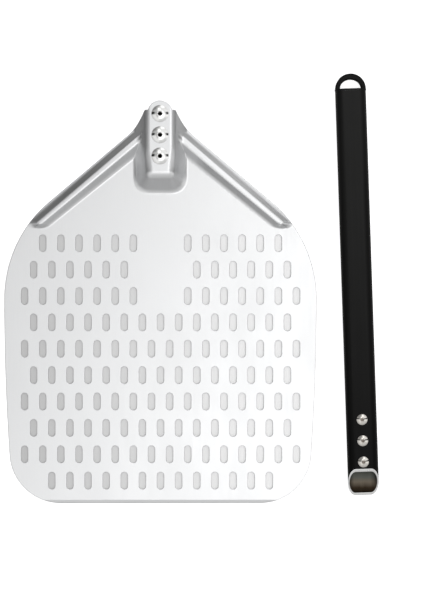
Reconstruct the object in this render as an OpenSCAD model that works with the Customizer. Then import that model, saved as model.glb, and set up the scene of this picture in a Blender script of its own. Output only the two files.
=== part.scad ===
// Knocked-down pizza peel: a perforated pressed head beside its detachable handle.
// Millimetres. +Y points from the front edge to the neck, +Z up, z = 0 is the table.
// The origin is the middle of the blade's underside, halfway along the head.

/* [Blade] */
// Widest part of the blade
blade_w = 305; // [300:1:320]
// Length from the front edge to the tip of the neck
head_l = 391.5; // [388:0.5:396]
// Thickness of the pressed sheet
sheet_t = 1.5; // [1.2:0.1:2]
// Radius of the two front corners
corner_r = 50; // [40:1:60]
// Angle of the straight shoulders, from the X axis
shoulder_a = 40.2; // [39:0.1:42]
// Depth of the bevel along the front edge
lip_l = 3.4; // [2:0.1:5]
// Sheet thickness left at the front edge
lip_t = 0.5; // [0.3:0.1:1]

/* [Slots] */
// Width of a slot
slot_w = 6.4; // [5:0.1:8]
// Length of a slot
slot_l = 16.6; // [12:0.1:18]
// Spacing of the slots along a row
slot_pitch = 17.7; // [17:0.1:19]
// Spacing of the rows
row_pitch = 25.75; // [25:0.05:26]
// Number of rows
row_n = 10; // [6:1:10]
// Y of the row nearest the neck
row_y = 57; // [55:0.5:57]
// Smallest distance from a slot to the edge of the blade
slot_margin = 9; // [8:0.5:14]

/* [Neck] */
// Height under the flat top of the neck
neck_h = 15.8; // [15.8:0.1:17]
// Width of the flat top of the neck
neck_w = 19.2; // [19:0.1:20]
// Width of the flat top at its front end
neck_front_w = 14.4; // [14:0.1:16]
// Width of the neck at its foot
neck_foot_w = 53.6; // [52:0.1:55]
// Length of the slope at the front of the neck
slope_l = 22; // [21:0.1:22.5]
// Spacing of the three fasteners, on the head and on the handle
bolt_pitch = 20.5; // [19:0.1:21]

/* [Shoulder ridges] */
// Distance from the straight shoulder edge to the crest
crest_in = 10.3; // [10:0.1:11]
// Ridge height beside the neck
ridge_h_neck = 7.5; // [5:0.1:9]
// Ridge height at the corner end
ridge_h_end = 5.5; // [4:0.1:7]

/* [Handle] */
// Length of the handle, from the tip of the cut end to the top of the loop
handle_l = 411; // [300:1:600]
// Width of the flat-oval tube
tube_w = 30; // [28:0.5:30]
// Height of the flat-oval tube
tube_h = 15; // [13:0.5:15]
// Wall of the tube
tube_wall = 1.5; // [1.2:0.1:2]
// Angle between the cut end and the tube's axis
cut_a = 29; // [27:0.5:35]
// Distance from the tip of the cut end to the first hole
hole_in = 34.2; // [34:0.1:36]
// X of the tube's cut tip beside the head
handle_x = 198; // [185:1:260]
// Turn of the handle about Z, as it lies
handle_turn = 1.9; // [0:0.1:5]

/* [Fasteners] */
// Diameter of the barrel nut's domed flange
flange_d = 16.5; // [14:0.1:17]
// Length of the barrel under the flange
barrel_l = 8; // [6:0.5:9]
// Diameter of the barrel
barrel_d = 7; // [6.5:0.1:8]
// Diameter of the screw's domed head
screw_head_d = 10.5; // [10:0.1:12]
// Length of the screw under its head
screw_l = 14; // [12:0.5:14.5]

/* [Hidden] */
eps = 0.01;

// M5 thread: nominal and tapping diameters, and the radial clearance of a sliding fit
thread_d = 5;
tap_d = 4.2;
fit = 0.1;

// Outline of the head, right half: tangent arcs about the points *_c
front_y = -head_l / 2 - 1.05;
tip_y = front_y + head_l;
half_w = blade_w / 2;
side_r = 2250;
shoulder_r = 123;
shoulder_c = [half_w - shoulder_r, 3.3];
side_c = [half_w - side_r, shoulder_c.y];
corner_y = front_y + corner_r;
corner_x = side_c.x + sqrt(pow(side_r - corner_r, 2) - pow(corner_y - side_c.y, 2));
corner_c = [corner_x, corner_y];
side_end_a = atan2(corner_c.y - side_c.y, corner_c.x - side_c.x);
edge_n = [sin(shoulder_a), cos(shoulder_a)];
edge_d = shoulder_c * edge_n + shoulder_r;
shoulder_y = shoulder_c.y + shoulder_r * cos(shoulder_a);

// Neck: flat top, rear edge of the flanges, and the concave flare into the shoulder
formed_y = 67;
foot_y = 104.6;
top_y = foot_y + slope_l;
taper_l = 23.4;
rear_y = tip_y - 8.9;
rear_half = 15;
flange_lean = 27;
flare_r = 65;
flare_turn = 90 - shoulder_a - flange_lean;
flare_l = flare_r * tan(flare_turn / 2);
flange_slope = tan(flange_lean);
meet_y = (edge_d - edge_n.x * (rear_half + rear_y * flange_slope))
       / (edge_n.y - edge_n.x * flange_slope);
meet_x = rear_half + (rear_y - meet_y) * flange_slope;
flare_hi_y = meet_y + flare_l * cos(flange_lean);
flare_lo_y = meet_y - flare_l * sin(shoulder_a);
flare_hi_x = meet_x - flare_l * sin(flange_lean);
flare_c = [flare_hi_x + flare_r * cos(flange_lean), flare_hi_y + flare_r * sin(flange_lean)];
tab_r = 12;
foot_half = neck_foot_w / 2;
neck_top = neck_h + sheet_t;
nut_y = [for (i = [0:2]) tip_y - 12.9 - i * bolt_pitch];

// Half width of the head at any y behind the middle of the blade
function edge_x(y) =
    y > flare_hi_y ? rear_half + (rear_y - y) * flange_slope :
    y > flare_lo_y ? flare_c.x - sqrt(pow(flare_r, 2) - pow(flare_c.y - y, 2)) :
    y > shoulder_y ? (edge_d - y * edge_n.y) / edge_n.x :
    y > shoulder_c.y ? shoulder_c.x + sqrt(pow(shoulder_r, 2) - pow(y - shoulder_c.y, 2)) :
    y > side_c.y + side_r * sin(side_end_a) ? side_c.x + sqrt(pow(side_r, 2) - pow(y - side_c.y, 2)) :
    corner_c.x + sqrt(pow(corner_r, 2) - pow(y - corner_c.y, 2));

// Half width of the tab at any y behind the flanges
function tab_x(y) = sqrt(pow(tab_r, 2) - pow(y - tip_y + tab_r, 2));

// Rises from 0 to 1 as t goes from 0 to 1: a fillet at each end, straight between them
function ramp(t, first, last) =
    let (rise = 1 / (1 - (first + last) / 2))
    t <= 0 ? 0 :
    t >= 1 ? 1 :
    t < first ? rise * t * t / (2 * first) :
    t > 1 - last ? 1 - rise * pow(1 - t, 2) / (2 * last) :
    rise * (t - first / 2);
function mix(a, b, t) = a + (b - a) * min(1, max(0, t));

// Half width of the neck's flat top, which tapers toward the front
function flat_half(y) =
    let (t = min(1, max(0, (y - top_y) / taper_l)))
    mix(neck_front_w, neck_w, t * t * (3 - 2 * t)) / 2;

// Place on the neck's slopes: 0 at the flat top, 1 at the foot
corner_power = 2.8;
function neck_t(x, y) =
    let (half = flat_half(y))
    pow(pow(max(0, x - half) / (foot_half - half), corner_power)
      + pow(max(0, top_y - y) / slope_l, corner_power), 1 / corner_power);

// Ridge along the shoulder: s runs along its crest from the neck, n across it, outward.
// Its end is skewed, so that the outer slope runs on a little further than the inner one.
crest_start = -90;
crest_end = 39.6;
end_skew = 0.7;
reach_out = 9.7;
reach_neck = 12.2;
reach_end = 8.6;
flat_neck = 1.3;
flat_end = 0.4;
function crest_t(s, n) =
    let (along = (s - crest_start) / (crest_end - crest_start),
         past = max(0, s - crest_end - end_skew * n),
         flat = mix(flat_neck, flat_end, along),
         reach = n > 0 ? reach_out : mix(reach_neck, reach_end, along),
         off = norm([past, n]))
    max(0, off - flat) / (reach - flat);
crest_fillet = 0.2;
ridge_foot_fillet = 0.5;
function ridge_h(x, y) =
    let (s = x * edge_n.y - y * edge_n.x,
         n = x * edge_n.x + y * edge_n.y - (edge_d - crest_in),
         along = (s - crest_start) / (crest_end - crest_start))
    mix(ridge_h_neck, ridge_h_end, along)
        * (1 - ramp(crest_t(s, n), crest_fillet, ridge_foot_fillet));

// Underside height of the pressed sheet, blending the neck and the ridges
blend_power = 4;
top_fillet = 0.34;
foot_fillet = 0.28;
function form_h(x, y) =
    let (t = neck_t(abs(x), y),
         neck = neck_h * (1 - ramp(t, top_fillet, foot_fillet)),
         ridge = ridge_h(abs(x), y) * min(1, 2 * t))
    pow(pow(neck, blend_power) + pow(ridge, blend_power), 1 / blend_power);

// Height of the upper face, so that the sheet keeps its thickness on the slopes
slope_step = 0.2;
function top_h(x, y) =
    let (gx = (form_h(x + slope_step, y) - form_h(x - slope_step, y)) / (2 * slope_step),
         gy = (form_h(x, y + slope_step) - form_h(x, y - slope_step)) / (2 * slope_step))
    form_h(x, y) + sheet_t * sqrt(1 + gx * gx + gy * gy);

// Strip of the neck's flat top that is a solid of its own: half width and front end
top_half = 6.9;
top_start = 132.6;

// Grid columns of the pressed part, from the centreline to the edge, packed on the slopes
flank_steps = [0, 0.1, 0.2, 0.34, 0.53, 0.72, 0.82, 0.91, 1];
inner_steps = [12.6, 10, 7.5, 5, 2.5, 0];
outer_steps = [0.15, 0.35, 0.6, 0.8, 1];
function columns(y) =
    let (w = edge_x(y),
         half = flat_half(y),
         crest = (edge_d - crest_in - y * edge_n.y) / edge_n.x,
         mid = max(crest, mix(half, w, 0.6)),
         inner = inner_steps[0] / edge_n.x,
         k = min(1, 0.98 * (mid - half) / (foot_half - half + inner)))
    concat([0, top_half],
           [for (t = flank_steps) half + (foot_half - half) * k * t],
           [for (q = inner_steps) mid - q * k / edge_n.x],
           [for (t = outer_steps) mid + (w - mid) * t]);
tab_steps = [0.004, 0.25, 0.5, 0.75, 0.9, 0.99];
stations = concat([for (i = [0:8]) mix(formed_y, foot_y, i / 9)],
                  [for (i = [0:9]) mix(foot_y, top_y, i / 10)],
                  [for (i = [0:4]) mix(top_y, top_start, i / 5)],
                  [for (i = [0:13]) mix(top_start, rear_y, i / 13)],
                  [for (t = tab_steps) mix(rear_y, tip_y, t)]);

// One full row of x values at a station. The tab's rows are the last flange row, narrowed.
function full_row(y) =
    let (c = columns(min(y, rear_y)),
         n = len(c),
         k = y > rear_y ? tab_x(y) / rear_half : 1)
    concat([for (i = [n - 1:-1:1]) -c[i] * k], [for (x = c) x * k]);

// Pressed neck and shoulders as one closed sheet: upper grid, lower grid and the rim
module formed_sheet() {
    rows = [for (y = stations) full_row(y)];
    nr = len(rows);
    nc = len(rows[0]);
    upper = [for (i = [0:nr - 1], x = rows[i]) [x, stations[i], top_h(x, stations[i])]];
    lower = [for (i = [0:nr - 1], x = rows[i]) [x, stations[i], form_h(x, stations[i])]];
    size = nr * nc;
    cells = [for (i = [0:nr - 2], j = [0:nc - 2]) i * nc + j];
    up_faces = [for (a = cells) each [[a, a + nc, a + nc + 1], [a, a + nc + 1, a + 1]]];
    down_faces = [for (f = up_faces) [f[2] + size, f[1] + size, f[0] + size]];
    rim = concat([for (j = [0:nc - 2]) j],
                 [for (i = [0:nr - 2]) i * nc + nc - 1],
                 [for (j = [nc - 1:-1:1]) (nr - 1) * nc + j],
                 [for (i = [nr - 1:-1:1]) i * nc]);
    rim_faces = [for (i = [0:len(rim) - 1])
        let (a = rim[i], b = rim[(i + 1) % len(rim)])
        each [[a, b, b + size], [a, b + size, a + size]]];
    polyhedron(concat(upper, lower), concat(up_faces, down_faces, rim_faces), convexity = 6);
}

// Points of an arc about c from angle a0 to a1
function arc(c, r, a0, a1, n) =
    [for (i = [0:n]) c + r * [cos(mix(a0, a1, i / n)), sin(mix(a0, a1, i / n))]];

module blade_outline() {
    join_a = asin((formed_y - shoulder_c.y) / shoulder_r);
    right = concat(arc(corner_c, corner_r, -90, side_end_a, 20),
                   arc(side_c, side_r, side_end_a * 0.9, 0, 8),
                   arc(shoulder_c, shoulder_r, join_a / 10, join_a, 9));
    left = [for (i = [len(right) - 1:-1:0]) [-right[i].x, right[i].y]];
    polygon(concat(right, left));
}

module slot() {
    straight = slot_l - slot_w;
    square([slot_w, straight], center = true);
    for (y = [-straight / 2, straight / 2])
        translate([0, y]) circle(d = slot_w, $fn = 32);
}

// Every second row is shifted by half a pitch, and the first three rows leave the middle plain
plain_rows = 3;
plain_half = 22;
module slots() {
    for (r = [0:row_n - 1]) {
        y = row_y - r * row_pitch;
        room = min(edge_x(y + slot_l / 2), edge_x(y - slot_l / 2)) - slot_margin - slot_w / 2;
        shift = r % 2 == 0 ? 0.5 : 0;
        for (i = [-9:8]) {
            x = (i + shift) * slot_pitch;
            if (abs(x) <= room && (r >= plain_rows || abs(x) > plain_half))
                translate([x, y]) slot();
        }
    }
}

module lip_cut() {
    rise = sheet_t - lip_t;
    translate([-half_w, front_y, 0])
        rotate([90, 0, 90])
            linear_extrude(blade_w)
                polygon([[-1, lip_t - rise / lip_l], [lip_l, sheet_t],
                         [lip_l, sheet_t + 1], [-1, sheet_t + 1]]);
}

// The head is one pressed sheet, held as three solids that meet face to face: the flat
// perforated blade, the pressed shoulders, and the strip of the neck's flat top with its holes
module head_blade() color("gainsboro") difference() {
    linear_extrude(sheet_t) difference() {
        blade_outline();
        slots();
    }
    lip_cut();
}

module head_shoulders() color("gainsboro") difference() {
    formed_sheet();
    translate([-top_half, top_start, neck_h - 1])
        cube([2 * top_half, tip_y - top_start, sheet_t + 2]);
}

module head_neck_top() color("gainsboro") translate([0, 0, neck_h]) difference() {
    linear_extrude(sheet_t) intersection() {
        translate([-top_half, top_start]) square([2 * top_half, tip_y - top_start]);
        union() {
            translate([0, tip_y - tab_r]) circle(r = tab_r, $fn = 64);
            translate([-tab_r, top_start]) square([2 * tab_r, rear_y - top_start]);
        }
    }
    for (y = nut_y)
        translate([0, y, -1]) cylinder(d = barrel_d + 2 * fit, h = sheet_t + 2, $fn = 48);
}

// Domed disc about Z, standing on z = 0: a short straight rim and a spherical crown
rim_h = 0.5;
module dome(d, h) {
    crown = h - rim_h;
    ball_r = (pow(d / 2, 2) + pow(crown, 2)) / (2 * crown);
    cylinder(d = d, h = rim_h, $fn = 96);
    intersection() {
        translate([0, 0, h - ball_r]) sphere(r = ball_r, $fn = 96);
        translate([0, 0, rim_h / 2]) cylinder(d = d, h = h, $fn = 96);
    }
}

flange_h = 2.4;
seat_gap = 0.01;
module barrel_nut(y) color("silver") translate([0, y, neck_top + seat_gap]) difference() {
    union() {
        dome(flange_d, flange_h);
        translate([0, 0, -barrel_l]) cylinder(d = barrel_d, h = barrel_l + eps, $fn = 48);
    }
    translate([0, 0, -barrel_l - 1]) cylinder(d = tap_d, h = barrel_l + flange_h + 2, $fn = 48);
}

// Handle frame: y = 0 at the tip of the cut end, +Y to the loop, z = 0 on the table
cap_y = handle_l - 16.3;
cap_rim = 1.5;
handle_y = front_y + 7.5;
hole_y = [for (i = [0:2]) hole_in + (2 - i) * bolt_pitch];
module in_handle() translate([handle_x, handle_y, 0]) rotate([0, 0, handle_turn]) children();

// Flat-oval section, extruded along +Y from y0 to y1, resting on z = inset
module flat_oval(inset, y0, y1, wider = 0) {
    r = tube_h / 2 - inset;
    x = (tube_w - tube_h) / 2 + wider;
    translate([0, y0, tube_h / 2]) rotate([-90, 0, 0]) {
        translate([-x, -r, 0]) cube([2 * x, 2 * r, y1 - y0]);
        for (i = [-x, x])
            translate([i, 0, 0]) cylinder(r = r, h = y1 - y0, $fn = 64);
    }
}

module handle_tube() color("#1c1c1d") in_handle() difference() {
    flat_oval(0, 0, cap_y);
    flat_oval(tube_wall, -1, cap_y + 1);
    rotate([cut_a, 0, 0]) translate([-tube_w, -tube_w, 0]) cube([2 * tube_w, 4 * tube_w, 2 * tube_w]);
    for (y = hole_y) {
        translate([0, y, tube_h / 2]) cylinder(d = barrel_d + 2 * fit, h = tube_h, $fn = 48);
        translate([0, y, -1]) cylinder(d = thread_d + 2 * fit, h = tube_h / 2, $fn = 48);
    }
}

// Cap: plug inside the tube, rim over its end, and a flat hanging loop
plug_l = 22;
plug_wall = 2;
rim_over = 0.4;
loop_r = 14.8;
loop_h = 9;
loop_side = 4.5;
loop_top = 5.4;
module end_cap() color("#161617") in_handle() {
    difference() {
        flat_oval(tube_wall, cap_y - plug_l, cap_y);
        flat_oval(tube_wall + plug_wall, cap_y - plug_l - 1, cap_y);
    }
    flat_oval(0, cap_y, cap_y + cap_rim, rim_over);
    translate([0, cap_y + cap_rim, (tube_h - loop_h) / 2])
        linear_extrude(loop_h) difference() {
            half_disc(loop_r, loop_r);
            half_disc(loop_r - loop_side, loop_r - loop_top);
        }
}

// Half ellipse on +Y, as a polygon
module half_disc(rx, ry) {
    polygon([for (i = [0:24]) [rx * cos(i * 7.5), ry * sin(i * 7.5)]]);
}

head_h = 2.6;
hex_af = 3;
hex_depth = 1.6;
module screw(y) color("silver") in_handle() translate([0, y, tube_h + seat_gap]) difference() {
    union() {
        dome(screw_head_d, head_h);
        translate([0, 0, -screw_l]) cylinder(d = thread_d, h = screw_l + eps, $fn = 48);
    }
    translate([0, 0, head_h - hex_depth]) cylinder(d = hex_af / cos(30), h = hex_depth + 1, $fn = 6);
}

module barrel_nut_rear() barrel_nut(nut_y[0]);
module barrel_nut_middle() barrel_nut(nut_y[1]);
module barrel_nut_front() barrel_nut(nut_y[2]);
module screw_rear() screw(hole_y[0]);
module screw_middle() screw(hole_y[1]);
module screw_front() screw(hole_y[2]);

head_blade();
head_shoulders();
head_neck_top();
barrel_nut_rear();
barrel_nut_middle();
barrel_nut_front();
handle_tube();
end_cap();
screw_rear();
screw_middle();
screw_front();
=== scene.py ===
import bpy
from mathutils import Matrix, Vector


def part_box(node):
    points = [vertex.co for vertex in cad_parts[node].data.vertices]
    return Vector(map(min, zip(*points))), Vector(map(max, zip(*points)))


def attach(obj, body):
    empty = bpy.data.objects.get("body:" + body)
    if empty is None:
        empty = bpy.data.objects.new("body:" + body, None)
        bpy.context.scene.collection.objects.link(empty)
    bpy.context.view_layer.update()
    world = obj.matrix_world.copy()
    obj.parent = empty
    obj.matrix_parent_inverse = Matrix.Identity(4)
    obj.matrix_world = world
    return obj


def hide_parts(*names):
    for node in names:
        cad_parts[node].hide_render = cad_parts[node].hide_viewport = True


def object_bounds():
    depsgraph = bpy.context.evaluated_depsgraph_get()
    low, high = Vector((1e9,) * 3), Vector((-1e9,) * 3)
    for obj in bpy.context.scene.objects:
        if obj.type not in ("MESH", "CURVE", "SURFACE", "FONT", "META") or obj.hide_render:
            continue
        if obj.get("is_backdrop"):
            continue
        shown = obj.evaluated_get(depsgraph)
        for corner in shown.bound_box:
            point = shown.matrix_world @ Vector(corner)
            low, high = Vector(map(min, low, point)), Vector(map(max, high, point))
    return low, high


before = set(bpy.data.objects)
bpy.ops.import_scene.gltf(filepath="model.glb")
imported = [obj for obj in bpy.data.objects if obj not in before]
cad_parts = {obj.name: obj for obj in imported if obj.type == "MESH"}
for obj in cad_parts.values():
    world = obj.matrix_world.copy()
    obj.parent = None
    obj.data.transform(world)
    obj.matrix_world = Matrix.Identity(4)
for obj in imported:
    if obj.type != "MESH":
        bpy.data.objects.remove(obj)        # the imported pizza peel: bodies, nodes, joints and record
cad_low, cad_high = (tuple(corner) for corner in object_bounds())

import math

import bmesh
import bpy
import numpy as np
from mathutils import Vector
from mathutils.geometry import delaunay_2d_cdt

# Shapes are in millimetres, in the frame's axes. They become metres where a mesh is made.
MM = 0.001


def box_mm(node):
    """Lowest and highest corner of a CAD node, in millimetres."""
    low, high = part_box(node)
    return np.array(low) / MM, np.array(high) / MM


# Sizes that the frame gives
BLADE_LOW, BLADE_HIGH = box_mm("head_blade")
NECK_HIGH = box_mm("head_neck_top")[1]
TUBE_HIGH = box_mm("handle_tube")[1]
FRONT_Y, TIP_Y = BLADE_LOW[1], NECK_HIGH[1]
HALF_W = BLADE_HIGH[0]
SHEET_T = BLADE_HIGH[2]
NECK_TOP = NECK_HIGH[2]
TUBE_H = TUBE_HIGH[2]

# Outline of the head: tangent arcs, straight shoulders and flanges
CORNER_R = 50
SIDE_R = 2250
SHOULDER_R = 123
SHOULDER_A = math.radians(40.2)
WIDEST_Y = 3.3
FLARE_R = 65
FLANGE_LEAN = math.radians(27)
REAR_Y = TIP_Y - 8.9
REAR_HALF = 15
REAR_CORNER_R = 1.5
TAB_R = 12
# Distance between points: of the outline, round the tab and on the rear corners
OUTLINE_STEP, TAB_STEP, CORNER_STEP = 1.5, 0.8, 0.3

# Slots: size, pitches, y of the first row, number of rows and room at the edge
SLOT_W, SLOT_L = 6.4, 16.6
SLOT_PITCH, ROW_PITCH = 17.7, 25.75
ROW_Y, ROW_N = 57, 10
SLOT_MARGIN = 9
# Most slots that a row can have on each side of the middle
MOST_ASIDE = 9
# The first rows leave the middle plain
PLAIN_ROWS, PLAIN_HALF = 3, 22
# Distance between points of a slot, along its sides and round its ends
SLOT_STEP, SLOT_ARC = 3.5, SLOT_W / 2 * math.pi / 12

# Bevel along the front edge: its length and the thickness at its end
LIP_L, LIP_T = 3.4, 0.5

# Pressed neck: its flat top narrows to the front, and its front slope starts at FOOT_Y
NECK_H = NECK_TOP - SHEET_T
NECK_HALF, NECK_FRONT_HALF = 9.6, 7.2
FOOT_HALF = 26.8
FOOT_Y = 104.6
SLOPE_L = 22
TAPER_L = 23.4
NECK_CORNER_POWER = 2.8
TOP_FILLET, FOOT_FILLET = 0.34, 0.28

# Ridges: the crest runs along the straight shoulder, and each size changes from neck to end
CREST_IN = 10.3
CREST_START, CREST_END = -90, 39.6
END_SKEW = 0.7
REACH_OUT, REACH_NECK, REACH_END = 9.7, 12.2, 8.6
FLAT_NECK, FLAT_END = 1.3, 0.4
RIDGE_NECK, RIDGE_END = 7.5, 5.5
CREST_FILLET, RIDGE_FOOT_FILLET = 0.2, 0.5
BLEND_POWER = 4

# Sheet edges
EDGE_ROUND = 0.6
BURR_ROUND = 0.2
HOLE_R = 3.6

# Steps for the sheet's slope: for its thickness and its normals
THICK_STEP, NORMAL_STEP = 0.2, 0.05


# -------- shape of the pressed sheet

def unit(angle):
    """Unit vector at an angle in radians."""
    return np.array([math.cos(angle), math.sin(angle)])


def circle(angles):
    """Points of a circle of radius 1, at a row of angles."""
    return np.column_stack([np.cos(angles), np.sin(angles)])


def normalised(vectors):
    """The vectors, each brought to length 1."""
    return vectors / np.linalg.norm(vectors, axis=1)[:, None]


SHOULDER_C = np.array([HALF_W - SHOULDER_R, WIDEST_Y])
SIDE_C = np.array([HALF_W - SIDE_R, WIDEST_Y])
CORNER_Y = FRONT_Y + CORNER_R
CORNER_C = np.array([SIDE_C[0] + math.sqrt((SIDE_R - CORNER_R) ** 2 - (CORNER_Y - WIDEST_Y) ** 2),
                     CORNER_Y])
SIDE_END_A = math.atan2(*(CORNER_C - SIDE_C)[::-1])
EDGE_N = unit(math.pi / 2 - SHOULDER_A)
EDGE_D = SHOULDER_C @ EDGE_N + SHOULDER_R


def mix(a, b, t):
    """From a to b as t goes from 0 to 1."""
    return a + (b - a) * np.clip(t, 0, 1)


def ramp(t, first, last):
    """Rises from 0 to 1 with t: a fillet at each end, straight between them."""
    t = np.clip(t, 0, 1)
    rise = 1 / (1 - (first + last) / 2)
    return np.where(t < first, rise * t * t / (2 * first),
                    np.where(t > 1 - last, 1 - rise * (1 - t) ** 2 / (2 * last),
                             rise * (t - first / 2)))


def neck_t(x, y):
    """0 on the flat top of the neck, 1 at its foot."""
    back = np.clip((y - FOOT_Y - SLOPE_L) / TAPER_L, 0, 1)
    half = mix(NECK_FRONT_HALF, NECK_HALF, back * back * (3 - 2 * back))
    side = np.maximum(0, x - half) / (FOOT_HALF - half)
    front = np.maximum(0, FOOT_Y + SLOPE_L - y) / SLOPE_L
    return (side ** NECK_CORNER_POWER + front ** NECK_CORNER_POWER) ** (1 / NECK_CORNER_POWER)


def ridge_height(x, y):
    """Height of the ridge inside the straight shoulder."""
    s = x * EDGE_N[1] - y * EDGE_N[0]
    n = x * EDGE_N[0] + y * EDGE_N[1] - (EDGE_D - CREST_IN)
    along = (s - CREST_START) / (CREST_END - CREST_START)
    flat = mix(FLAT_NECK, FLAT_END, along)
    reach = np.where(n > 0, REACH_OUT, mix(REACH_NECK, REACH_END, along))
    off = np.hypot(np.maximum(0, s - CREST_END - END_SKEW * n), n)
    crest_t = np.maximum(0, off - flat) / (reach - flat)
    return (mix(RIDGE_NECK, RIDGE_END, along)
            * (1 - ramp(crest_t, CREST_FILLET, RIDGE_FOOT_FILLET)))


def underside(x, y):
    """Height of the sheet's underside."""
    x = np.abs(x)
    t = neck_t(x, y)
    neck = NECK_H * (1 - ramp(t, TOP_FILLET, FOOT_FILLET))
    ridge = ridge_height(x, y) * np.minimum(1, 2 * t)
    return (neck ** BLEND_POWER + ridge ** BLEND_POWER) ** (1 / BLEND_POWER)


def gradient(surface, x, y, step=0.1):
    """Slope of a surface z(x, y) along X and Y."""
    along_x = (surface(x + step, y) - surface(x - step, y)) / (2 * step)
    along_y = (surface(x, y + step) - surface(x, y - step)) / (2 * step)
    return along_x, along_y


def upper_side(x, y):
    """Height of the sheet's upper face: an even sheet, bevelled along the front edge."""
    gx, gy = gradient(underside, x, y, THICK_STEP)
    full = underside(x, y) + SHEET_T * np.sqrt(1 + gx * gx + gy * gy)
    bevel = LIP_T + (y - FRONT_Y) * (SHEET_T - LIP_T) / LIP_L
    return np.minimum(full, bevel)


def surface_normal(surface, points):
    """Upward unit normals of a surface z(x, y)."""
    gx, gy = gradient(surface, points[:, 0], points[:, 1], NORMAL_STEP)
    return normalised(np.stack([-gx, -gy, np.ones(len(points))], axis=1))


# -------- outlines

def arc(centre, radius, start, end, step=OUTLINE_STEP):
    """Points of an arc between two angles in radians, without the last one."""
    count = max(3, math.ceil(abs(end - start) * radius / step))
    angles = np.linspace(start, end, count, endpoint=False)
    return np.asarray(centre) + radius * circle(angles)


def line(start, end, step=OUTLINE_STEP):
    """Points of a straight line, without the last one."""
    start, end = np.asarray(start, float), np.asarray(end, float)
    count = max(1, math.ceil(np.linalg.norm(end - start) / step))
    return start + (end - start) * np.linspace(0, 1, count, endpoint=False)[:, None]


def outward(loop):
    """Unit normals of a closed loop that has the material on its left."""
    along = np.roll(loop, -1, axis=0) - np.roll(loop, 1, axis=0)
    return normalised(np.stack([along[:, 1], -along[:, 0]], axis=1))


def flare_ends():
    """Ends of the arc that leads from the straight shoulder to the flange."""
    slope = math.tan(FLANGE_LEAN)
    meet_y = ((EDGE_D - EDGE_N[0] * (REAR_HALF + REAR_Y * slope))
              / (EDGE_N[1] - EDGE_N[0] * slope))
    meet = np.array([REAR_HALF + (REAR_Y - meet_y) * slope, meet_y])
    run = FLARE_R * math.tan((math.pi / 2 - SHOULDER_A - FLANGE_LEAN) / 2)
    return (meet + run * np.array([EDGE_N[1], -EDGE_N[0]]),
            meet + run * unit(math.pi / 2 + FLANGE_LEAN))


def head_outline():
    """The head's outline, counterclockwise from the middle of the front edge."""
    flare_low, flare_high = flare_ends()
    rear_run = REAR_CORNER_R * math.tan((math.pi / 2 - FLANGE_LEAN) / 2)
    rear_start = np.array([REAR_HALF, REAR_Y]) - rear_run * unit(math.pi / 2 + FLANGE_LEAN)
    rear_c = rear_start - REAR_CORNER_R * unit(FLANGE_LEAN)
    tab_c = np.array([0, TIP_Y - TAB_R])
    tab_start = math.asin((REAR_Y - tab_c[1]) / TAB_R)
    right = np.concatenate([
        line([0, FRONT_Y], [CORNER_C[0], FRONT_Y]),
        arc(CORNER_C, CORNER_R, -math.pi / 2, SIDE_END_A),
        arc(SIDE_C, SIDE_R, SIDE_END_A, 0),
        arc(SHOULDER_C, SHOULDER_R, 0, math.pi / 2 - SHOULDER_A),
        line(SHOULDER_C + SHOULDER_R * EDGE_N, flare_low),
        arc(flare_low + FLARE_R * EDGE_N, FLARE_R,
            1.5 * math.pi - SHOULDER_A, math.pi + FLANGE_LEAN),
        line(flare_high, rear_start),
        arc(rear_c, REAR_CORNER_R, FLANGE_LEAN, math.pi / 2, CORNER_STEP),
        line([REAR_HALF - rear_run, REAR_Y], tab_c + TAB_R * unit(tab_start), TAB_STEP),
        arc(tab_c, TAB_R, tab_start, math.pi / 2, TAB_STEP),
        [[0, TIP_Y]],
    ])
    left = right[-2:0:-1] * [-1, 1]
    return np.concatenate([right, left])


def slot_loop(x, y):
    """A slot with round ends, clockwise."""
    radius = SLOT_W / 2
    half = SLOT_L / 2 - radius
    loop = np.concatenate([
        arc([x, y + half], radius, 0, math.pi, SLOT_ARC),
        line([x - radius, y + half], [x - radius, y - half], SLOT_STEP),
        arc([x, y - half], radius, math.pi, 2 * math.pi, SLOT_ARC),
        line([x + radius, y - half], [x + radius, y + half], SLOT_STEP),
    ])
    return loop[::-1]


def half_width(outline, y):
    """Half width of the head at y."""
    near = np.abs(outline[:, 1] - y) < OUTLINE_STEP
    return outline[near, 0].max()


def slot_places(outline):
    """Slot centres: every second row is shifted, and the first rows leave the middle plain."""
    for row in range(ROW_N):
        y = ROW_Y - row * ROW_PITCH
        narrow = min(half_width(outline, y + SLOT_L / 2), half_width(outline, y - SLOT_L / 2))
        room = narrow - SLOT_MARGIN - SLOT_W / 2
        shift = 0.5 if row % 2 == 0 else 0
        for i in range(-MOST_ASIDE, MOST_ASIDE):
            x = (i + shift) * SLOT_PITCH
            if abs(x) <= room and (row >= PLAIN_ROWS or abs(x) > PLAIN_HALF):
                yield x, y


def hole_loop(x, y, radius, count=48):
    """A round hole, clockwise."""
    angles = -np.arange(count) * 2 * math.pi / count
    return [x, y] + radius * circle(angles)


# -------- mesh helpers

# Points of a flat outline that are closer than this are one point
SAME_POINT = 1e-6
# Sides of a turned part
TURN_SIDES = 72
# Edges that bend more than this are sharp
SHARP = math.radians(35)


def mesh_from(name, verts, faces):
    """A mesh from points in millimetres."""
    mesh = bpy.data.meshes.new(name)
    mesh.from_pydata((np.asarray(verts) * MM).tolist(), [], faces)
    return mesh


def placed(name, data):
    """A new object in the scene, with a mesh, lens or lamp as its data."""
    thing = bpy.data.objects.new(name, data)
    bpy.context.scene.collection.objects.link(thing)
    return thing


def tied(mesh, body, nodes):
    """A piece that is named like its mesh and tied to its body; its CAD nodes are hidden."""
    piece = placed(mesh.name, mesh)
    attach(piece, body)
    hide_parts(*nodes)
    return piece


def smooth(mesh):
    """Shades every face smooth."""
    mesh.polygons.foreach_set("use_smooth", [True] * len(mesh.polygons))


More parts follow.
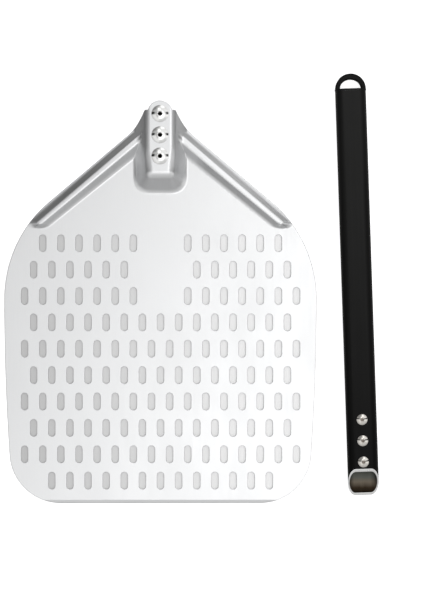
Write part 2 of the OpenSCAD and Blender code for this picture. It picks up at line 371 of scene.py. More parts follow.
def new_piece(name, verts, faces, body, nodes, materials, normals=None, indices=None):
    """A piece from points in millimetres, with its normals or its faces' material indices."""
    mesh = mesh_from(name, verts, faces)
    for material in materials:
        mesh.materials.append(material)
    smooth(mesh)
    if indices is not None:
        mesh.polygons.foreach_set("material_index", indices)
    mesh.update()
    if normals is not None:
        mesh.normals_split_custom_set_from_vertices(np.asarray(normals).tolist())
    return tied(mesh, body, nodes)


def keep_sharp(piece):
    """Keeps sharp edges from being shaded smooth."""
    piece.data.set_sharp_from_angle(angle=SHARP)


def sheet_triangles(loops, inner, rounds):
    """Flat points, triangles between the loops, and the index of each loop's first point."""
    starts, flat, edges, owner = [], [], [], []
    for k, (loop, radius) in enumerate(zip(loops, rounds)):
        first, count = len(flat), len(loop)
        starts.append(first)
        edges += [(first + i, first + (i + 1) % count) for i in range(count)]
        owner += [k] * count
        flat += list(loop - outward(loop) * radius)
    owner += [-1] * len(inner)
    points = np.concatenate([np.array(flat), inner])
    found = delaunay_2d_cdt([Vector(p) for p in points], edges, [], 1, SAME_POINT)
    triangles = [t for t in found[2]
                 if not (owner[t[0]] == owner[t[1]] == owner[t[2]] and owner[t[0]] > 0)]
    return points, triangles, starts


def sheet_mesh(loops, inner, upper, lower, rounds):
    """A sheet between two surfaces, bounded by closed loops, with every edge rounded.

    The first loop is the outline and the others are holes; each has the material on its
    left. rounds gives each loop's radius. Returns points, faces and point normals.
    """
    points, triangles, starts = sheet_triangles(loops, inner, rounds)
    total = len(points)
    x, y = points[:, 0], points[:, 1]
    verts = [np.column_stack([x, y, upper(x, y)]), np.column_stack([x, y, lower(x, y)])]
    normals = [surface_normal(upper, points), -surface_normal(lower, points)]
    faces = [tuple(t) for t in triangles]
    faces += [(t[2] + total, t[1] + total, t[0] + total) for t in triangles]
    index = 2 * total
    for loop, start, radius in zip(loops, starts, rounds):
        count = len(loop)
        rings = [start + np.arange(count)]
        for points_3d, normal in edge_rings(loop, upper, lower, radius):
            verts.append(points_3d)
            normals.append(normal)
            rings.append(index + np.arange(count))
            index += count
        rings.append(total + start + np.arange(count))
        for a, b in zip(rings, rings[1:]):
            a_next, b_next = np.roll(a, -1), np.roll(b, -1)
            faces += list(zip(a.tolist(), b.tolist(), b_next.tolist(), a_next.tolist()))
    return np.concatenate(verts), faces, np.concatenate(normals)


def edge_rings(loop, upper, lower, radius):
    """Rings of points and normals round a rounded edge, from the upper face to the lower."""
    out = outward(loop)
    side = np.column_stack([out, np.zeros(len(loop))])
    thick = upper(loop[:, 0], loop[:, 1]) - lower(loop[:, 0], loop[:, 1])
    fit = np.minimum(1, 0.5 * thick / radius)
    bends = [(upper, 1, radius, angle) for angle in (30, 60, 90)]
    bends += [(lower, -1, min(BURR_ROUND, radius / 2), angle) for angle in (90, 0)]
    for surface, way, bend, degrees in bends:
        angle = math.radians(degrees)
        place = loop - out * bend * (1 - math.sin(angle))
        height = (surface(place[:, 0], place[:, 1])
                  - way * fit * bend * (1 - math.cos(angle)))
        normal = (surface_normal(surface, place) * way * math.cos(angle)
                  + side * math.sin(angle))
        yield np.column_stack([place, height]), normalised(normal)


def joined(rings, closed):
    """Points and quads between consecutive rings, and from the last to the first if closed."""
    count, faces = len(rings[0]), []
    pairs = len(rings) if closed else len(rings) - 1
    for r in range(pairs):
        a, b = r * count, ((r + 1) % len(rings)) * count
        faces += [(a + i, b + i, b + (i + 1) % count, a + (i + 1) % count)
                  for i in range(count)]
    return np.concatenate(rings), faces


def capped(rings):
    """The same as an open row of rings, with a face over each end."""
    verts, faces = joined(rings, closed=False)
    count = len(rings[0])
    last = (len(rings) - 1) * count
    faces.append(tuple(reversed(range(count))))
    faces.append(tuple(range(last, last + count)))
    return verts, faces


def turned(rows, centre, turn=0.0, closed=False):
    """Points and faces of a turned part. Each row is (radii, heights), one per side or a number.

    A closed profile joins its last row to its first. An open one is capped at both ends.
    """
    angles = np.arange(TURN_SIDES) * 2 * math.pi / TURN_SIDES + turn
    rings = []
    for radii, heights in rows:
        heights = np.broadcast_to(heights, TURN_SIDES)
        rings.append(np.column_stack([centre[0] + radii * np.cos(angles),
                                      centre[1] + radii * np.sin(angles),
                                      centre[2] + heights]))
    verts, faces = joined(rings, closed)
    if not closed:
        faces.append(tuple(range(TURN_SIDES)))
        faces.append(tuple(reversed(range(len(verts) - TURN_SIDES, len(verts)))))
    return verts, faces


# -------- head

HEAD_NODES = ["head_blade", "head_shoulders", "head_neck_top"]
NUT_NODES = ["barrel_nut_rear", "barrel_nut_middle", "barrel_nut_front"]
SCREW_NODES = ["screw_rear", "screw_middle", "screw_front"]
# Grid on the formed sheet: pitch, distance between rows as a part of it, and room at the edge
GRID, GRID_ROW, GRID_CLEAR = 1.0, 0.866, 0.6
# The sheet counts as bent where it slopes more than this within reach
BENT_SLOPE, BENT_REACH = 1e-4, 1.5
# Grid points per batch, and how far in front of them the outline still counts
BATCH, EDGE_AHEAD = 4000, 5
# Rows beside the start of the front bevel: distance, room at the outline, number of points
LIP_SOFT, LIP_INSIDE, LIP_POINTS = 0.3, 2.5, 140


def node_centre(node):
    """Middle of a CAD node, with its lowest z."""
    low, high = box_mm(node)
    return np.array([(low[0] + high[0]) / 2, (low[1] + high[1]) / 2, low[2]])


def inside_depth(x, y, outline):
    """How far points lie inside the rear part of the outline."""
    rear = outline[:, 1] > BLADE_HIGH[1] - EDGE_AHEAD
    edge, normal = outline[rear], outward(outline)[rear]
    depth = []
    for start in range(0, len(x), BATCH):
        part = slice(start, start + BATCH)
        away = np.hypot(x[part, None] - edge[None, :, 0], y[part, None] - edge[None, :, 1])
        near = away.argmin(axis=1)
        depth.append((edge[near, 0] - x[part]) * normal[near, 0]
                     + (edge[near, 1] - y[part]) * normal[near, 1])
    return np.concatenate(depth)


def formed_points(outline):
    """Grid points where the sheet bends, clear of the outline."""
    rows = np.arange(BLADE_HIGH[1], TIP_Y, GRID * GRID_ROW)
    across = np.arange(-HALF_W, HALF_W, GRID)
    shift = (np.arange(len(rows)) % 2) * GRID / 2
    x = (across[None, :] + shift[:, None]).ravel()
    y = np.repeat(rows, len(across))
    bends = np.zeros(len(x), bool)
    for angle in np.arange(8) * math.pi / 4:
        way = BENT_REACH * unit(angle)
        gx, gy = gradient(underside, x + way[0], y + way[1])
        bends |= np.hypot(gx, gy) > BENT_SLOPE
    x, y = x[bends], y[bends]
    keep = inside_depth(x, y, outline) > EDGE_ROUND + GRID_CLEAR
    return np.column_stack([x[keep], y[keep]])


def lip_points():
    """Two close rows that soften the line where the front bevel starts."""
    y = FRONT_Y + LIP_L
    half = CORNER_C[0] + math.sqrt(CORNER_R ** 2 - (CORNER_R - LIP_L) ** 2) - LIP_INSIDE
    x = np.linspace(-half, half, LIP_POINTS)
    return np.concatenate([np.column_stack([x, np.full(len(x), y - LIP_SOFT)]),
                           np.column_stack([x, np.full(len(x), y + LIP_SOFT)])])


def make_head(material):
    """The head: one pressed sheet with its slots, ridges and neck."""
    outline = head_outline()
    slots = [slot_loop(x, y) for x, y in slot_places(outline)]
    holes = [hole_loop(*node_centre(node)[:2], HOLE_R) for node in NUT_NODES]
    rounds = [EDGE_ROUND] * (1 + len(slots)) + [BURR_ROUND] * len(holes)
    inner = np.concatenate([lip_points(), formed_points(outline)])
    verts, faces, normals = sheet_mesh([outline] + slots + holes, inner,
                                       upper_side, underside, rounds)
    new_piece("peel_head", verts, faces, "head", HEAD_NODES,
              [material], normals)


# -------- fasteners

# M5 thread, with the number of rows in each turn
THREAD_PITCH, THREAD_DEPTH, THREAD_ROWS = 0.8, 0.42, 8
# Height of the straight rim under a dome
RIM_H = 0.5

# Barrel nut. A row of a profile is (radius, height above the seat)
NUT_R, NUT_H = 8.25, 2.4
BARREL_R, BARREL_L = 3.5, 8
BORE_R = 2.1
BORE_MOUTH = [(BORE_R, 1.9), (BORE_R + 0.12, 2.05), (2.45, 2.18)]
NUT_CROWN = np.linspace(2.7, NUT_R - 0.8, 12)
# Stepped edge of the flange: distance inside its edge, and height
RIM_STEP = [(0.65, 0.72), (0.5, 0.64), (0.3, 0.58), (0.12, 0.49), (0, 0.36), (0, 0.14), (0.13, 0)]
BARREL = [(3.9, 0), (BARREL_R, -0.15), (BARREL_R, -7.5), (3.1, -BARREL_L),
          (2.75, -BARREL_L), (2.5, -7.85)]
NUT_THREAD = (1.7, -7.5)

# Socket screw, in the same way
SCREW_R, SCREW_H = 5.25, 2.6
SHANK_R, SCREW_L = 2.5, 14
HEX_FLATS = 3
SOCKET_FLOOR = [(0.05, 0.72), (1.2, 1.0)]
# Wall of the hexagonal socket: distance outside the hexagon, and height
SOCKET_WALL = [(-0.06, 1.0), (0, 1.06), (0, 2.3), (0.12, 2.43)]
# The faces from these first rows of the profile are the socket, dark with grime and painted shade
SOCKET_ROWS = 4
SCREW_CROWN = np.linspace(2.15, SCREW_R - 0.55, 10)
# Edge of the head: distance inside its edge, and height
SCREW_EDGE = [(0.38, 0.8), (0.24, 0.74), (0.12, 0.66), (0, 0.5), (0, 0.12), (0.1, 0)]
NECK_OF_SHANK = [(2.75, 0), (SHANK_R, -0.2), (SHANK_R, -1.0)]
SCREW_THREAD = (-1.1, -13.4)
SCREW_TIP = [(1.9, -13.6), (1.55, -SCREW_L)]


def thread(radius, top, bottom):
    """Rows of a helical thread from top to bottom, fading out at both ends."""
    count = math.ceil((top - bottom) / THREAD_PITCH * THREAD_ROWS)
    around = np.arange(TURN_SIDES) / TURN_SIDES
    rows = []
    for i in range(count + 1):
        z = top + (bottom - top) * i / count
        phase = (z / THREAD_PITCH - around) % 1
        groove = np.clip(np.abs(phase - 0.5) * 4 - 0.5, 0, 1)
        fade = min(1, i / THREAD_ROWS, (count - i) / THREAD_ROWS)
        rows.append((radius + THREAD_DEPTH * groove * fade, z))
    return rows


def dome(radii, rim_r, height):
    """Rows of a spherical crown that stands on a straight rim."""
    crown = height - RIM_H
    ball = (rim_r ** 2 + crown ** 2) / (2 * crown)
    return [(r, height - ball + math.sqrt(ball ** 2 - r ** 2)) for r in radii]


def make_nut(node, body, metal):
    """Barrel nut: a domed flange with a stepped rim, and a barrel threaded inside."""
    seat = node_centre(node) + [0, 0, BARREL_L]
    profile = BORE_MOUTH + dome(NUT_CROWN, NUT_R, NUT_H)
    profile += [(NUT_R - inset, z) for inset, z in RIM_STEP] + BARREL
    profile += thread(BORE_R, *NUT_THREAD)[::-1]
    verts, faces = turned(profile, seat, closed=True)
    keep_sharp(new_piece(node.replace("barrel", "domed_barrel"), verts, faces, body,
                         [node], [metal]))


def hexagon(grow):
    """Radius of the socket's hexagon for each side of a turned part, corner first."""
    angle = (np.arange(TURN_SIDES) / TURN_SIDES * 2 * math.pi) % (math.pi / 3)
    return (HEX_FLATS / 2 + grow) / np.cos(angle - math.pi / 6)


def make_screw(node, body, metal, grime_and_shade):
    """Socket screw with a domed head: M5, 14 mm long, with a 3 mm hexagon."""
    seat = node_centre(node) + [0, 0, SCREW_L]
    profile = SOCKET_FLOOR + [(hexagon(grow), z) for grow, z in SOCKET_WALL]
    profile += dome(SCREW_CROWN, SCREW_R, SCREW_H)
    profile += [(SCREW_R - inset, z) for inset, z in SCREW_EDGE] + NECK_OF_SHANK
    profile += thread(SHANK_R - THREAD_DEPTH, *SCREW_THREAD) + SCREW_TIP
    verts, faces = turned(profile, seat, turn=HANDLE_TURN)
    # The socket's faces take the dark material: grime and painted shade in the recess
    grimed_and_shaded = [int(f < SOCKET_ROWS * TURN_SIDES) for f in range(len(faces))]
    keep_sharp(new_piece(node.replace("screw", "socket_screw"), verts, faces, body,
                         [node], [metal, grime_and_shade], indices=grimed_and_shaded))


# -------- handle

# Handle frame: y = 0 at the tip of the cut end, +Y to the loop, z = 0 on the table
HOLE_IN = 34.2
BOLT_PITCH = 20.5
HANDLE_L = 411
CAP_Y = HANDLE_L - 16.3
TUBE_R = TUBE_H / 2
# Half width of the tube's flat top, and its wall
TUBE_FLAT = 7.5
TUBE_WALL = 1.5
CUT_SLOPE = 1 / math.tan(math.radians(29))
TOP_HOLE_R, LOW_HOLE_R = 3.6, 2.6
# Softened edges: across and along at the cut and at the rear end, outside and inside, and holes
CUT_EDGES = [(0.2, 0.35), (0.15, 0.25)]
END_EDGES = [(0.15, 0.15), (0.1, 0.1)]
HOLE_EDGE = 0.15

FRONT_SCREW = node_centre("screw_front")[:2]
BETWEEN_SCREWS = node_centre("screw_rear")[:2] - FRONT_SCREW
HANDLE_AXIS = BETWEEN_SCREWS / np.linalg.norm(BETWEEN_SCREWS)
HANDLE_TURN = math.atan2(-HANDLE_AXIS[0], HANDLE_AXIS[1])
HANDLE_TIP = FRONT_SCREW - HOLE_IN * HANDLE_AXIS


def from_handle(points):
    """Points of the handle frame, in the frame of the whole object."""
    points = np.asarray(points, float)
    side = np.array([HANDLE_AXIS[1], -HANDLE_AXIS[0]])
    flat = HANDLE_TIP + points[:, :1] * side + points[:, 1:2] * HANDLE_AXIS
    return np.column_stack([flat, points[:, 2]])


# Steps of the tube's section along a flat and round a side
FLAT_STEPS, ROUND_STEPS = 8, 24


def oval(inset, wider=0.0):
    """Section of the flat-oval tube as (x, z) points, clockwise from the top left."""
    radius = TUBE_R - inset
    half = TUBE_FLAT + wider
    flat = np.linspace(-half, half, FLAT_STEPS, endpoint=False)
    angles = math.pi / 2 - np.arange(ROUND_STEPS) * math.pi / ROUND_STEPS
    turn = circle(angles) * radius
    top = np.column_stack([flat, np.full(FLAT_STEPS, radius)])
    half_loop = np.concatenate([top, turn + [half, 0]])
    return np.concatenate([half_loop, -half_loop]) + [0, TUBE_R]


def ring(inset, y, slanted=False, wider=0.0):
    """A ring of the handle at y, or on the slanted cut and y behind it."""
    section = oval(inset, wider)
    places = section[:, 1] * CUT_SLOPE + y if slanted else np.full(len(section), float(y))
    return np.column_stack([section[:, 0], places, section[:, 1]])


def band(a, b, skip=()):
    """Quads between two rings, leaving out some columns."""
    count = len(a)
    return [(a[i], b[i], b[(i + 1) % count], a[(i + 1) % count])
            for i in range(count) if i not in skip]


# Columns of the section that lie on the top flat and on the lower flat
TOP_FLAT = range(FLAT_STEPS)
LOW_FLAT = range(FLAT_STEPS + ROUND_STEPS, 2 * FLAT_STEPS + ROUND_STEPS)
HOLE_Y = [HOLE_IN + i * BOLT_PITCH for i in range(3)]
# Each hole has a patch of the flat to itself, with rows along it and rings round the hole
PATCH_START = 28.2
PATCH_ENDS = [y + BOLT_PITCH / 2 for y in HOLE_Y]
PATCH_ROWS = 8
PATCH_RINGS = (0, 0.3, 0.62, 1)
# Rings of the tube in front of the patches, and the number behind them
FRONT_RINGS, REAR_RINGS = (0.3, 0.65, 1), 14


def patch_rows(start, end):
    """Places of a patch's rows along the handle."""
    return np.linspace(start, end, PATCH_ROWS + 1)


def hole_patch(start, end, y, z, radius, inward):
    """Rings of a flat patch of the tube, from its round hole, softened inward, to its edge."""
    across = np.linspace(-TUBE_FLAT, TUBE_FLAT, FLAT_STEPS + 1)
    rows = patch_rows(start, end)
    edge = [(x, rows[0]) for x in across[:-1]] + [(TUBE_FLAT, v) for v in rows[:-1]]
    edge += [(x, rows[-1]) for x in across[:0:-1]] + [(-TUBE_FLAT, v) for v in rows[:0:-1]]
    edge = np.array(edge)
    angles = -0.75 * math.pi + np.arange(len(edge)) * 2 * math.pi / len(edge)
    hole = circle(angles) * (radius + HOLE_EDGE) + [0, y]
    rings = [np.column_stack([circle(angles) * radius + [0, y],
                              np.full(len(edge), z + inward * HOLE_EDGE)])]
    for t in PATCH_RINGS:
        rings.append(np.column_stack([hole + (edge - hole) * t, np.full(len(edge), z)]))
    return rings


def skin(inset, first, last, inward):
    """One skin of the tube, outer or inner, from ring first to ring last, and its hole rings."""
    quads, walls = [], []
    begin = ring(inset, PATCH_START)
    previous = first
    for t in FRONT_RINGS:
        current = first + (begin - first) * t
        quads += band(previous, current)
        previous = current
    start = PATCH_START
    flats = set(TOP_FLAT) | set(LOW_FLAT)
    for y, end in zip(HOLE_Y, PATCH_ENDS):
        for v in patch_rows(start, end)[1:]:
            current = ring(inset, v)
            quads += band(previous, current, flats)
            previous = current
        for z, radius, way in ((TUBE_H - inset, TOP_HOLE_R, -1), (inset, LOW_HOLE_R, 1)):
            rings = hole_patch(start, end, y, z, radius, way * inward)
            for a, b in zip(rings[1:], rings[2:]):
                quads += band(a, b)
            walls.append(rings[:2])
        start = end
    for y in np.linspace(start, last[0][1], REAR_RINGS)[1:-1]:
        current = ring(inset, y)
        quads += band(previous, current)
        previous = current
    quads += band(previous, last)
    return quads, walls


def open_end(y, edges, way, slanted):
    """Rings round an open end of the tube, from the outer skin to the inner one."""
    (out_across, out_along), (in_across, in_along) = edges
    return [ring(0, y + way * out_along, slanted), ring(out_across, y, slanted),
            ring(TUBE_WALL - in_across, y, slanted),
            ring(TUBE_WALL, y + way * in_along, slanted)]


def welded(name, groups, materials, body, nodes):
    """A piece from groups of separate quads, one group per material, joined where they meet."""
    corners, faces, indices = [], [], []
    for index, quads in enumerate(groups):
        for quad in quads:
            faces.append(tuple(range(len(corners), len(corners) + len(quad))))
            corners += list(quad)
            indices.append(index)
    piece = new_piece(name, from_handle(corners), faces, body, nodes, materials,
                      indices=indices)
    weld(piece.data)
    return piece


def weld(mesh, reach=1e-7):
    """Joins points within reach, in metres, and turns every face outward."""
    work = bmesh.new()
    work.from_mesh(mesh)
    bmesh.ops.remove_doubles(work, verts=work.verts, dist=reach)
    bmesh.ops.recalc_face_normals(work, faces=work.faces)
    work.to_mesh(mesh)
    work.free()


def make_tube(anodised, bare, inside):
    """Flat-oval tube: black outside, bare on the slanted cut, dull inside."""
    cut = open_end(0, CUT_EDGES, 1, slanted=True)
    end = open_end(CAP_Y, END_EDGES, -1, slanted=False)
    outer, outer_walls = skin(0, cut[0], end[0], 1)
    inner, inner_walls = skin(TUBE_WALL, cut[-1], end[-1], -1)
    bright = []
    for rings in (cut, end):
        for a, b in zip(rings, rings[1:]):
            bright += band(a, b)
    for (outer_wall, outer_edge), (inner_wall, inner_edge) in zip(outer_walls, inner_walls):
        bright += band(outer_edge, outer_wall) + band(outer_wall, inner_wall)
        bright += band(inner_wall, inner_edge)
    piece = welded("handle_flat_oval_tube", [outer, bright, inner], [anodised, bare, inside],
                   "handle", ["handle_tube"])
    keep_sharp(piece)


# -------- end cap

PLUG_L, PLUG_WALL = 22, 2
# Clearance between plug and tube, and the chamfer of the plug's end: across and along
PLUG_GAP, PLUG_CHAMFER = 0.02, (0.5, 1.2)
RIM_L, RIM_OVER = 1.5, 0.4
# Rings of the rim: distance inside its edge, and place behind the tube's end
RIM_RINGS = [(0.1, 0), (0, 0.15), (0, RIM_L - 0.5), (0.15, RIM_L - 0.15), (0.5, RIM_L)]
# The loop: outer radius and height, width at the sides and at the top, edge radius and rings
LOOP_R, LOOP_H = 14.8, 9
LOOP_SIDE, LOOP_TOP = 4.5, 5.4
LOOP_ROUND, LOOP_RINGS = 1.3, 49
# How deep loop and rim are sunk, inset of the rim's foot, and how short the plug stops
LOOP_SUNK, RIM_SUNK, RIM_FOOT, PLUG_SHORT = 0.9, 0.6, 0.5, 0.2
# Corners that the fusing leaves closer than this, in metres, are joined
CAP_WELD = 5e-6


def rounded_section(width, height, radius, steps=4):
    """Rounded rectangle as (across, up) points, from 0 to width and about mid height."""
    points = []
    for quarter in range(4):
        middle_x = width - radius if quarter in (0, 3) else radius
        middle_y = (height / 2 - radius) * (1 if quarter < 2 else -1)
        for i in range(steps + 1):
            angle = (quarter + i / steps) * math.pi / 2
            points.append((middle_x + radius * math.cos(angle),
                           middle_y + radius * math.sin(angle)))
    return np.array(points)


def loop_part():
    """The hanging loop: a flat D with rounded edges, swept from the rim and back."""
    rings = []
    angles = np.linspace(0, math.pi, LOOP_RINGS)
    for angle, drop in [(0, LOOP_SUNK)] + [(a, 0) for a in angles] + [(math.pi, LOOP_SUNK)]:
        way = unit(angle)
        outer = LOOP_R * way
        inner = np.array([LOOP_R - LOOP_SIDE, LOOP_R - LOOP_TOP]) * way
        width = np.linalg.norm(outer - inner)
        section = rounded_section(width, LOOP_H, LOOP_ROUND)
        flat = inner + section[:, :1] * (outer - inner) / width
        rings.append(np.column_stack([flat[:, 0], flat[:, 1] + CAP_Y + RIM_L - drop,
                                      section[:, 1] + TUBE_H / 2]))
    return capped(rings)


def rim_part():
    """The plate that closes the tube's end, slightly wider than the tube."""
    rings = [ring(inset, CAP_Y + y, wider=RIM_OVER) for inset, y in RIM_RINGS]
    return capped([ring(RIM_FOOT, CAP_Y - RIM_SUNK)] + rings)


def plug_part():
    """The hollow plug inside the tube."""
    start, end = CAP_Y - PLUG_L, CAP_Y - PLUG_SHORT
    deep, fit = TUBE_WALL + PLUG_WALL, TUBE_WALL + PLUG_GAP
    across, along = PLUG_CHAMFER
    rings = [ring(deep, end), ring(deep, start), ring(TUBE_WALL + across, start),
             ring(fit, start + along), ring(fit, end)]
    return joined(rings, closed=True)


def cap_part(verts, faces):
    """A closed part of the cap as an object of its own."""
    mesh = mesh_from("cap_part", from_handle(verts), faces)
    weld(mesh)
    return placed("cap_part", mesh)


def fused(parts, name):
    """One mesh from overlapping closed parts, which are removed."""
    for other in parts[1:]:
        join = parts[0].modifiers.new("join", "BOOLEAN")
        join.operation = "UNION"
        join.solver = "EXACT"
        join.object = other
    graph = bpy.context.evaluated_depsgraph_get()
    mesh = bpy.data.meshes.new_from_object(parts[0].evaluated_get(graph))
    for part in parts:
        bpy.data.meshes.remove(part.data)
    mesh.name = name
    weld(mesh, CAP_WELD)
    return mesh


def make_cap(plastic):
    """End cap: plug, rim and loop, moulded in one."""
    parts = [cap_part(*shape) for shape in (rim_part(), plug_part(), loop_part())]
    mesh = fused(parts, "handle_end_cap")
    mesh.materials.clear()
    mesh.materials.append(plastic)
    smooth(mesh)
    keep_sharp(tied(mesh, "handle", ["end_cap"]))


# -------- materials

class Nodes:
    """Short calls for the nodes of a tree."""

    def new(self, kind):
        """A new node of the tree."""
        return self.tree.nodes.new(kind)

    def feed(self, socket, value):
        """Sets a socket to a number, or links it to another node's output."""
        if isinstance(value, (int, float)):
            socket.default_value = value
        else:
            self.tree.links.new(value, socket)

    def ranged(self, value, start, end, low, high, easing="SMOOTHSTEP"):
        """Goes from low to high as the value goes from start to end."""
        node = self.new("ShaderNodeMapRange")
        node.interpolation_type = easing
        for name, number in zip(("From Min", "From Max", "To Min", "To Max", "Value"),
                                (start, end, low, high, value)):
            self.feed(node.inputs[name], number)
        return node.outputs["Result"]

    def combine(self, operation, *values):
        """A sum, product or other operation on values."""
        node = self.new("ShaderNodeMath")
        node.operation = operation
        for socket, value in zip(node.inputs, values):
            self.feed(socket, value)
        return node.outputs["Value"]


class Surface(Nodes):
    """A Principled material and short calls for its procedural detail."""

    def __init__(self, name, **sockets):
        self.material = bpy.data.materials.new(name)
        self.material.use_nodes = True
        self.tree = self.material.node_tree
        self.shader = self.tree.nodes["Principled BSDF"]
        self.coords = self.new("ShaderNodeTexCoord").outputs["Object"]
        for socket, value in sockets.items():
            self.shader.inputs[socket.replace("_", " ")].default_value = value

    def glow(self, strength):
        """White light from the surface itself."""
        self.shader.inputs["Emission Color"].default_value = (1, 1, 1, 1)
        self.shader.inputs["Emission Strength"].default_value = strength

    def noise(self, grain, detail=3.0, turn=0.0, distortion=0.0):
        """Noise with features of the given size in millimetres along X, Y and Z."""
        place, noise = self.new("ShaderNodeMapping"), self.new("ShaderNodeTexNoise")
        place.vector_type = "TEXTURE"
        self.feed(place.inputs["Vector"], self.coords)
        place.inputs["Rotation"].default_value = (0, 0, turn)
        place.inputs["Scale"].default_value = [size * MM for size in grain]
        for name, value in (("Vector", place.outputs["Vector"]), ("Scale", 1),
                            ("Detail", detail), ("Distortion", distortion)):
            self.feed(noise.inputs[name], value)
        return noise.outputs["Fac"]

    def axis(self, name):
        """The place along X, Y or Z, in metres."""
        node = self.new("ShaderNodeSeparateXYZ")
        self.feed(node.inputs["Vector"], self.coords)
        return node.outputs[name]

    def span(self, value, low, high, start=0.3, end=0.7):
        """The value spread evenly over low to high; most of a noise lies in 0.3 to 0.7."""
        return self.ranged(value, start, end, low, high, "LINEAR")

    def colour(self, factor, dark, light):
        """Base colour from dark to light as the factor goes from 0 to 1."""
        node = self.new("ShaderNodeMix")
        node.data_type = "RGBA"
        node.inputs["A"].default_value = (*dark, 1)
        node.inputs["B"].default_value = (*light, 1)
        self.feed(node.inputs["Factor"], factor)
        self.feed(self.shader.inputs["Base Color"], node.outputs["Result"])

    def gradient(self, factor, stops):
        """Base colour that runs through several (place, colour) stops."""
        node = self.new("ShaderNodeValToRGB")
        elements = node.color_ramp.elements
        while len(elements) < len(stops):
            elements.new(0.5)
        for element, (place, tone) in zip(elements, stops):
            element.position = place
            element.color = (*tone, 1)
        self.feed(node.inputs["Fac"], factor)
        self.feed(self.shader.inputs["Base Color"], node.outputs["Color"])

    def roughness(self, value):
        """Roughness from a node."""
        self.feed(self.shader.inputs["Roughness"], value)

    def bump(self, *layers):
        """Layers of (height, depth in millimetres), each on top of the one before."""
        normal = None
        for height, depth in layers:
            node = self.new("ShaderNodeBump")
            node.inputs["Distance"].default_value = depth * MM
            self.feed(node.inputs["Height"], height)
            if normal is not None:
                self.feed(node.inputs["Normal"], normal)
            normal = node.outputs["Normal"]
        self.feed(self.shader.inputs["Normal"], normal)


def satin_aluminium():
    """Rolled and brushed sheet: fine streaks along Y over slow cloudy patches."""
    s = Surface("satin_aluminium", Metallic=1)
    streaks = s.noise((0.5, 40, 40), detail=4)
    brush = s.noise((0.16, 9, 9), detail=2)
    clouds = s.noise((55, 80, 80), detail=3, distortion=0.4)
    s.colour(s.combine("MULTIPLY_ADD", streaks, clouds, 0.5), (0.66, 0.665, 0.672),
             (0.75, 0.755, 0.76))
    s.roughness(s.combine("ADD", s.span(streaks, -0.03, 0.05), s.span(clouds, 0.30, 0.36)))
    s.bump((brush, 0.006), (streaks, 0.01))
    return s.material


def polished_metal(name, tone, rough):
    """Bright turned metal with faint smudges and fine pits."""
    s = Surface(name, Metallic=1)
    smudges = s.noise((2.5, 2.5, 2.5), detail=4, distortion=0.6)
    pits = s.noise((0.25, 0.25, 0.25), detail=2)
    s.colour(smudges, [c * 0.94 for c in tone], tone)
    s.roughness(s.span(smudges, rough * 0.8, rough * 1.7))
    s.bump((pits, 0.0012))
    return s.material


def black_anodised():
    """Black anodised extrusion: satin, with die lines along the handle."""
    s = Surface("black_anodised", Metallic=1)
    lines = s.noise((0.4, 300, 0.4), detail=3, turn=HANDLE_TURN)
    clouds = s.noise((18, 60, 18), detail=3, turn=HANDLE_TURN, distortion=0.3)
    grain = s.noise((0.12, 0.12, 0.12), detail=2)
    # Base colour gets paler along Y, from the handle's tip to y = 0.2 m
    paler_along_y = s.span(s.axis("Y"), 0, 0.9, HANDLE_TIP[1] * MM, 0.2)
    s.colour(s.combine("MULTIPLY_ADD", clouds, 0.12, paler_along_y), (0.0065, 0.0065, 0.0065),
             (0.02, 0.02, 0.0197))
    s.roughness(s.combine("ADD", s.span(lines, -0.03, 0.05), s.span(clouds, 0.38, 0.46)))
    s.bump((grain, 0.004), (lines, 0.008))
    return s.material


def sawn_aluminium():
    """Bare aluminium with saw marks."""
    s = Surface("sawn_aluminium", Metallic=1)
    lines = s.noise((0.3, 6, 6), detail=4, turn=HANDLE_TURN)
    s.colour(lines, (0.765, 0.765, 0.7565), (0.9, 0.9, 0.89))
    s.roughness(s.span(lines, 0.25, 0.4))
    s.bump((lines, 0.02))
    return s.material


# Inside of the tube, with painted light and shade: how far in the tones reach, in metres, and each
# one's place and colour
INSIDE_L = 0.028
INSIDE_LIGHT_AND_SHADE = [(0.12, (0.004, 0.003, 0.002)), (0.32, (0.034, 0.023, 0.014)),
                (0.52, (0.155, 0.13, 0.1)), (0.68, (0.11, 0.113, 0.1)),
                (0.95, (0.06, 0.063, 0.055))]


def stained_and_shaded_inside():
    """Inside of the tube: drawn metal, dull and brown, with stains; darkest at the mouth, with painted
    light about 15 mm in and painted shade deeper in.
    """
    s = Surface("stained_and_shaded_inside", Metallic=0.8, Specular_IOR_Level=0.1)
    lines = s.noise((0.4, 80, 0.4), detail=4, turn=HANDLE_TURN)
    stains = s.noise((5, 9, 5), detail=3, distortion=0.5)
    mouth = HANDLE_TIP[1] * MM
    depth = s.span(s.axis("Y"), 0, 1, mouth, mouth + INSIDE_L)
    # Base colour along the tube: darkest at the mouth, painted light about 15 mm in, painted shade
    # deeper in
    s.gradient(s.combine("MULTIPLY_ADD", stains, 0.08, depth), INSIDE_LIGHT_AND_SHADE)
    s.roughness(s.span(lines, 0.45, 0.6))
    s.bump((lines, 0.02))
    return s.material


def black_plastic():
    """Moulded plastic with a fine spark-eroded grain."""
    s = Surface("black_plastic", Specular_IOR_Level=0.12)
    grain = s.noise((0.35, 0.35, 0.35), detail=3)
    patches = s.noise((9, 9, 9), detail=2)
    s.colour(patches, (0.0035, 0.0035, 0.0035), (0.006, 0.006, 0.0059))
    s.roughness(s.combine("ADD", s.span(grain, -0.04, 0.04), s.span(patches, 0.46, 0.54)))
    s.bump((grain, 0.02))
    return s.material


# -------- stage, light and camera

# Camera, in metres: the point it looks down on, its height, and the length that it sees there
VIEW_X, VIEW_Y = 0.0503, 0.0016
VIEW_HEIGHT = 1.63
VIEW_SPAN = 0.5862
# Sensor size in millimetres
SENSOR = 36


